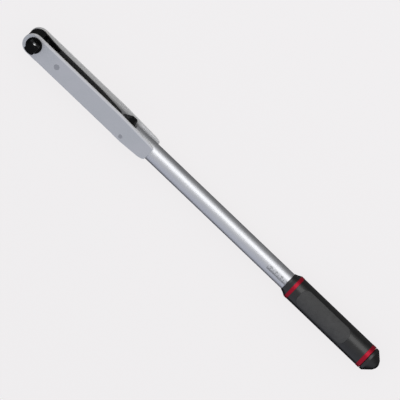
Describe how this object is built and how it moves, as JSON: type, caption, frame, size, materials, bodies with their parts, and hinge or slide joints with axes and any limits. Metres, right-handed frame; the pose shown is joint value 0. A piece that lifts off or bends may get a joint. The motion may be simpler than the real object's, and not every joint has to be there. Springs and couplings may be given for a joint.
{
  "type": "torque wrench",
  "caption": "Trip-type torque wrench: folded plate head with a ratcheting square drive, a plain tube handle and a twist-to-set grip with a lock knob.",
  "frame": {"origin": "on the square drive's axis, at mid height of the head, midway between its two plates", "axes": "+X along the handle towards the grip, +Y towards the open edge of the head channel, +Z along the square drive, out of the head"},
  "size_m": [0.5475, 0.0306, 0.0427],
  "materials": {
    "satin_plate": "satin nickel plate, fine lengthwise grain",
    "tube_chrome": "bright chrome plate",
    "pin_steel": "ground flush steel",
    "black_oxide": "black oxide over forged steel",
    "bright_steel": "ground hardened steel",
    "spring_steel": "oil-tempered spring wire",
    "bronze": "oiled bronze",
    "plain_steel": "turned steel",
    "core_aluminium": "drawn aluminium",
    "grip_black": "glossy moulded black",
    "soft_grip": "soft matt dark grey overmould",
    "ring_red": "glossy crimson",
    "seal_rubber": "black nitrile"
  },
  "bodies": {
    "frame": {"side_channel": "satin_plate", "main_tube": "tube_chrome", "stop_pin": "pin_steel", "cam_pin": "pin_steel", "thrust_washers": "bronze", "cam_washers": "bronze", "tube_nut": "plain_steel", "nut_pins": "plain_steel", "main_spring": "spring_steel"},
    "break_lever": {"break_lever": "black_oxide", "roller_pin": "bright_steel", "pawl_pin": "bright_steel", "pawl_spring": "spring_steel"},
    "trip_roller": {"trip_roller": "bright_steel"},
    "drive": {"drive_spindle": "black_oxide", "spindle_circlip": "spring_steel", "detent_spring": "spring_steel"},
    "detent_ball": {"detent_ball": "bright_steel"},
    "pawl": {"ratchet_pawl": "black_oxide"},
    "trip_cam": {"trip_cam": "black_oxide"},
    "plunger": {"plunger": "plain_steel"},
    "adjuster": {"spring_seat": "plain_steel", "thrust_races": "bright_steel", "thrust_balls": "bright_steel", "lock_rod": "bright_steel"},
    "grip": {"adjusting_screw": "plain_steel", "screw_hub": "plain_steel", "hub_nut": "bright_steel", "lock_collet": "bronze", "rear_bush": "plain_steel", "grip_core": "core_aluminium", "grip_nose": "grip_black", "wiper_ring": "seal_rubber", "front_ring": "ring_red", "grip_shell": "grip_black", "soft_panels": "soft_grip", "rear_ring": "ring_red"},
    "lock_knob": {"lock_knob": "grip_black"}
  },
  "joints": [
    {"name": "lever_trip", "type": "hinge", "parent": "frame", "child": "break_lever", "pos_m": [0, 0, 0], "axis": [0, 0, 1], "range_deg": [-2.5, 0], "stiffness_Nm_per_rad": 40, "springref_deg": 2.86},
    {"name": "cam_rock", "type": "hinge", "parent": "frame", "child": "trip_cam", "pos_m": [0.142, -0.0076, 0], "axis": [0, 0, 1], "range_deg": [-8, 0]},
    {"name": "plunger_slide", "type": "slide", "parent": "frame", "child": "plunger", "axis": [1, 0, 0], "range_m": [0, 0.0011], "deforming": ["main_spring"]},
    {"name": "roller_spin", "type": "hinge", "parent": "break_lever", "child": "trip_roller", "pos_m": [0.123, 0.001, 0], "axis": [0, 0, 1], "continuous": true},
    {"name": "drive_spin", "type": "hinge", "parent": "break_lever", "child": "drive", "pos_m": [0, 0, 0], "axis": [0, 0, 1], "continuous": true},
    {"name": "pawl_lift", "type": "hinge", "parent": "break_lever", "child": "pawl", "pos_m": [0.017, -0.0005, 0], "axis": [0, 0, 1], "range_deg": [-5.5, 0], "stiffness_Nm_per_rad": 0.05, "springref_deg": 17.19, "deforming": ["pawl_spring"]},
    {"name": "detent_press", "type": "slide", "parent": "drive", "child": "detent_ball", "axis": [0, -1, 0], "range_m": [0, 0.001], "stiffness_N_per_m": 200, "springref_m": -0.001, "deforming": ["detent_spring"]},
    {"name": "seat_slide", "type": "slide", "parent": "frame", "child": "adjuster", "axis": [-1, 0, 0], "range_m": [0, 0.028], "deforming": ["main_spring"]},
    {"name": "grip_turn", "type": "hinge", "parent": "adjuster", "child": "grip", "pos_m": [0.34, 0, 0], "axis": [-1, 0, 0], "range_deg": [0, 5040]},
    {"name": "lock_turn", "type": "hinge", "parent": "grip", "child": "lock_knob", "pos_m": [0.52, 0, 0], "axis": [-1, 0, 0], "range_deg": [-90, 0]}
  ],
  "couplings": [
    {"joint": "cam_rock", "follows": "lever_trip", "ratio": 3.2},
    {"joint": "plunger_slide", "follows": "lever_trip", "m_per_rad": -0.0252},
    {"joint": "grip_turn", "follows": "seat_slide", "rad_per_m": 3141.6}
  ]
}
